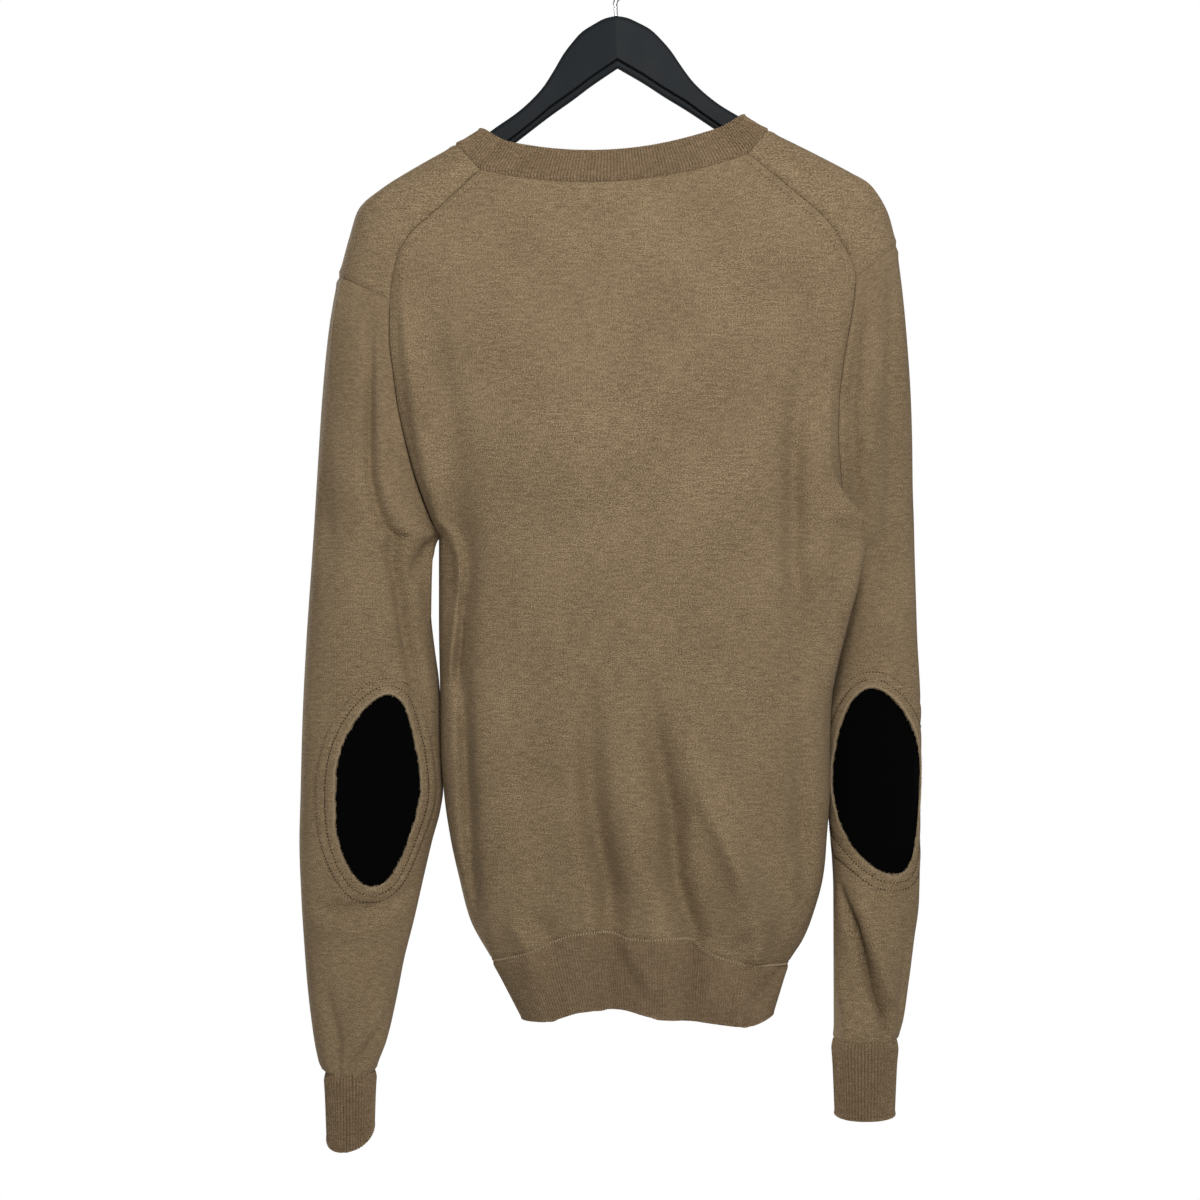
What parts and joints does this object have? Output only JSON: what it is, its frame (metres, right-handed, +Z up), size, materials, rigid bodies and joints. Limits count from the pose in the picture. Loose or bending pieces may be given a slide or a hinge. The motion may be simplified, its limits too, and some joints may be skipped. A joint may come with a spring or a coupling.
{
  "type": "knitted sweater on a clothes hanger",
  "caption": "Long-sleeved knitted sweater with cut-out elbows over dark patches, hanging on a contoured moulded hanger with a steel hook.",
  "frame": {"origin": "inside top of the hook, where the hanger rests on its rod", "axes": "+Z up; the back of the sweater faces -Y and the front +Y; +X is to the right in a view from behind"},
  "size_m": [0.4735, 0.1303, 0.9195],
  "materials": {
    "jersey_knit": "fine heathered wool jersey, camel brown",
    "rib_knit": "fine heathered wool rib, camel brown",
    "elbow_cloth": "matt black cloth",
    "hanger_plastic": "satin black moulded plastic",
    "hook_steel": "plated steel wire"
  },
  "bodies": {
    "root": {"back_panel": "jersey_knit", "front_panel": "jersey_knit", "sleeve_left": "jersey_knit", "sleeve_right": "jersey_knit", "neck_rib": "rib_knit", "hem_rib": "rib_knit", "cuff_rib_left": "rib_knit", "cuff_rib_right": "rib_knit", "elbow_patch_left": "elbow_cloth", "elbow_patch_right": "elbow_cloth", "hanger_body": "hanger_plastic", "hanger_hook": "hook_steel"}
  },
  "joints": []
}
